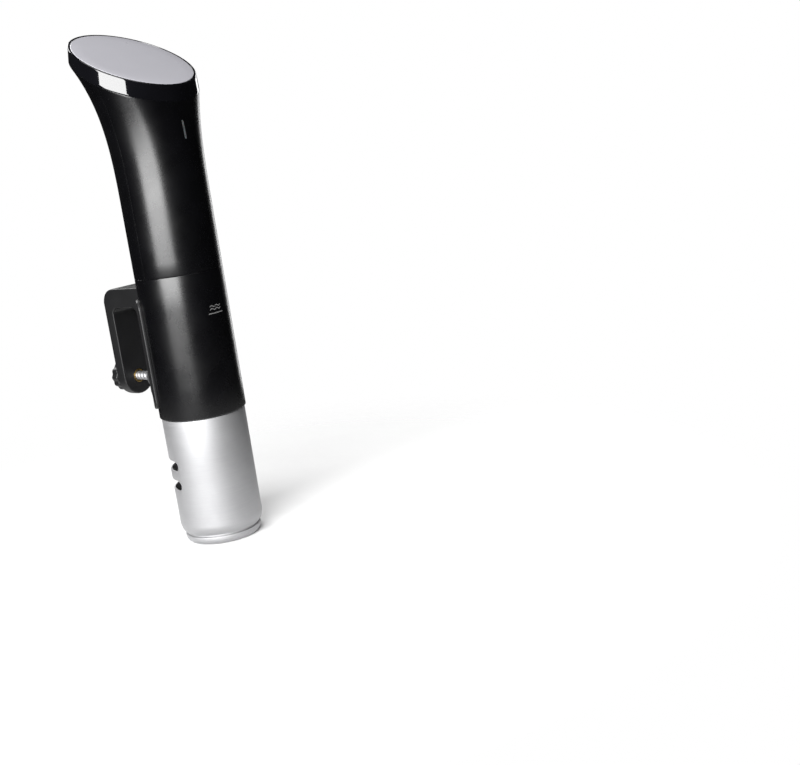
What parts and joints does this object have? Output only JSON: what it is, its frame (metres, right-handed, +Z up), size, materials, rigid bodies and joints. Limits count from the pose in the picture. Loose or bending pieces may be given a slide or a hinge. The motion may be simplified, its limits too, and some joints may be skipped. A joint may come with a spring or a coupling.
{
  "type": "sous vide circulator",
  "caption": "Upright tube-shaped water heater and circulator with a tilted round touch display, a screw clamp for a pan's wall and a steel skirt over its heater and impeller.",
  "frame": {"origin": "centre of the flat underside of the bottom cap, on the tube's axis", "axes": "+Z up the tube to the display, -Y to the front where the display's edge is low, +Y to the clamp at the back, +X to the right as seen from the front"},
  "size_m": [0.0808, 0.1029, 0.331],
  "materials": {
    "satin_black": "satin moulded black plastic",
    "gloss_black": "gloss black plastic",
    "matt_black": "fine-grained matt black plastic",
    "rubber": "matt black rubber",
    "satin_grey": "satin light-grey display window",
    "clear_white": "frosted white light guide",
    "stainless": "satin stainless steel",
    "brass": "turned brass",
    "aluminium": "plain extruded aluminium",
    "board_green": "green circuit board",
    "natural_plastic": "off-white engineering plastic",
    "dark_plastic": "dark grey engineering plastic",
    "relay_blue": "blue relay case",
    "white_ink": "pale grey pad print",
    "ferrite": "dark ferrite and laminated iron"
  },
  "bodies": {
    "casing": {"display_lens": "satin_grey", "display_gasket": "rubber", "bezel_ring": "gloss_black", "display_board": "board_green", "display_module": "dark_plastic", "buzzer": "dark_plastic", "front_shell": "satin_black", "rear_shell": "satin_black", "status_light_pipe": "clear_white", "shell_screw_lower": "stainless", "shell_screw_upper": "stainless", "cord_gland": "rubber", "main_board": "board_green", "heat_sink": "aluminium", "transformer": "ferrite", "filter_capacitor": "dark_plastic", "power_relay": "relay_blue", "lower_sleeve": "satin_black", "sleeve_seal_ring": "rubber", "bulkhead": "dark_plastic", "bulkhead_seal_ring": "rubber", "shaft_bush": "natural_plastic", "shaft_seal": "rubber", "motor_mount": "dark_plastic", "motor_can": "stainless", "motor_bearing_lower": "stainless", "motor_bearing_upper": "stainless", "stator_ring": "ferrite", "motor_screw_left": "stainless", "motor_screw_right": "stainless", "heater_coil": "stainless", "temperature_probe": "stainless", "level_probe": "stainless", "clamp_bracket": "matt_black", "grip_pad": "rubber", "bracket_screw_lower": "stainless", "bracket_screw_upper": "stainless", "clamp_nut": "brass"},
    "rotor": {"drive_shaft": "stainless", "motor_rotor": "ferrite", "cooling_fan": "natural_plastic", "impeller": "dark_plastic"},
    "skirt": {"skirt": "stainless"},
    "end_cap": {"bottom_cap": "stainless"},
    "pad": {"clamp_pad": "rubber"},
    "thumb_screw": {"clamp_screw": "stainless", "clamp_knob": "matt_black"}
  },
  "joints": [
    {"name": "rotor_spin", "type": "hinge", "parent": "casing", "child": "rotor", "pos_m": [0, 0, 0.1], "axis": [0, 0, 1], "continuous": true},
    {"name": "skirt_twist", "type": "hinge", "parent": "casing", "child": "skirt", "pos_m": [0, 0, 0.08], "axis": [0, 0, 1], "range_deg": [0, 30]},
    {"name": "cap_twist", "type": "hinge", "parent": "skirt", "child": "end_cap", "pos_m": [0, 0, 0.01], "axis": [0, 0, 1], "range_deg": [0, 30]},
    {"name": "pad_slide", "type": "slide", "parent": "casing", "child": "pad", "axis": [0, 1, 0], "range_m": [-0.002, 0.0144]},
    {"name": "screw_turn", "type": "hinge", "parent": "pad", "child": "thumb_screw", "pos_m": [0, 0.062, 0.108], "axis": [0, 1, 0], "range_deg": [-244, 1732]}
  ],
  "couplings": [
    {"joint": "screw_turn", "follows": "pad_slide", "rad_per_m": 2094.4}
  ]
}
